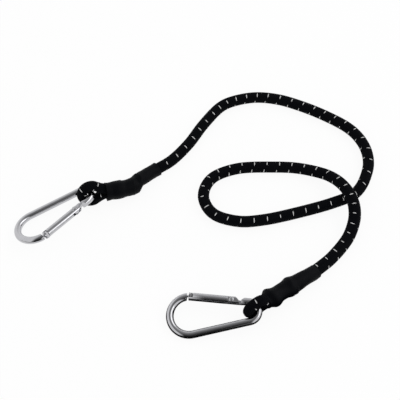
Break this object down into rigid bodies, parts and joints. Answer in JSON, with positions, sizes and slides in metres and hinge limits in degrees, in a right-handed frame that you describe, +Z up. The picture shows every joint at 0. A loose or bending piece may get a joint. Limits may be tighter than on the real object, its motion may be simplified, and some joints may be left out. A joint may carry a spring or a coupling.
{
  "type": "bungee cord",
  "caption": "Elastic braided cord with a snap hook at each end, its doubled ends clipped and covered by shrunk sleeves, used to strap or tie things down.",
  "frame": {"origin": "centre of the bottom of the box round the two snap hooks, eyes and sleeves, on the plane that the cord lies on", "axes": "+Z up from that plane; +X from the left snap hook towards the right-hand loop of the cord; +Y away from the viewer, across the lying cord"},
  "size_m": [0.3211, 0.2557, 0.0256],
  "materials": {
    "hook_metal": "polished",
    "gate_steel": "satin",
    "clip_steel": "satin",
    "braid": "matte braid with pale tracer flecks",
    "rubber": "matte",
    "sleeve": "satin"
  },
  "bodies": {
    "cord": {"cord_braid": "braid", "cord_rubber": "rubber", "left_eye_braid": "braid", "left_eye_rubber": "rubber", "left_clip_front": "clip_steel", "left_clip_rear": "clip_steel", "left_shrink_sleeve": "sleeve", "right_eye_braid": "braid", "right_eye_rubber": "rubber", "right_clip_front": "clip_steel", "right_clip_rear": "clip_steel", "right_shrink_sleeve": "sleeve"},
    "left_hook": {"left_hook_body": "hook_metal"},
    "left_gate": {"left_gate": "hook_metal", "left_gate_rivet": "gate_steel", "left_gate_spring": "gate_steel"},
    "left_plunger": {"left_gate_plunger": "gate_steel"},
    "right_hook": {"right_hook_body": "hook_metal"},
    "right_gate": {"right_gate": "hook_metal", "right_gate_rivet": "gate_steel", "right_gate_spring": "gate_steel"},
    "right_plunger": {"right_gate_plunger": "gate_steel"}
  },
  "joints": [
    {"name": "left_hook_swing", "type": "hinge", "parent": "cord", "child": "left_hook", "pos_m": [-0.06648, 0.05046, 0.01255], "axis": [-0.2777, 0.9185, -0.2813], "range_deg": [-80, 90]},
    {"name": "left_gate_hinge", "type": "hinge", "parent": "left_hook", "child": "left_gate", "pos_m": [-0.079, 0.03152, 0.01385], "axis": [0.2338, -0.2194, -0.9472], "range_deg": [0, 30], "stiffness_Nm_per_rad": 0.08, "springref_deg": -34.38},
    {"name": "left_plunger_slide", "type": "slide", "parent": "left_gate", "child": "left_plunger", "axis": [-0.699, -0.7151, -0.0068], "range_m": [0, 0.00126], "deforming": ["left_gate_spring"]},
    {"name": "right_hook_swing", "type": "hinge", "parent": "cord", "child": "right_hook", "pos_m": [0.07674, -0.06123, 0.01287], "axis": [-0.5449, 0.8334, 0.0922], "range_deg": [-80, 90]},
    {"name": "right_gate_hinge", "type": "hinge", "parent": "right_hook", "child": "right_gate", "pos_m": [0.05614, -0.05536, 0.01185], "axis": [-0.0977, -0.1723, 0.9802], "range_deg": [0, 30], "stiffness_Nm_per_rad": 0.08, "springref_deg": -34.38},
    {"name": "right_plunger_slide", "type": "slide", "parent": "right_gate", "child": "right_plunger", "axis": [-0.9873, 0.1409, -0.0736], "range_m": [0, 0.00126], "deforming": ["right_gate_spring"]}
  ],
  "couplings": [
    {"joint": "left_plunger_slide", "follows": "left_gate_hinge", "m_per_rad": 0.002387},
    {"joint": "right_plunger_slide", "follows": "right_gate_hinge", "m_per_rad": 0.002387}
  ]
}
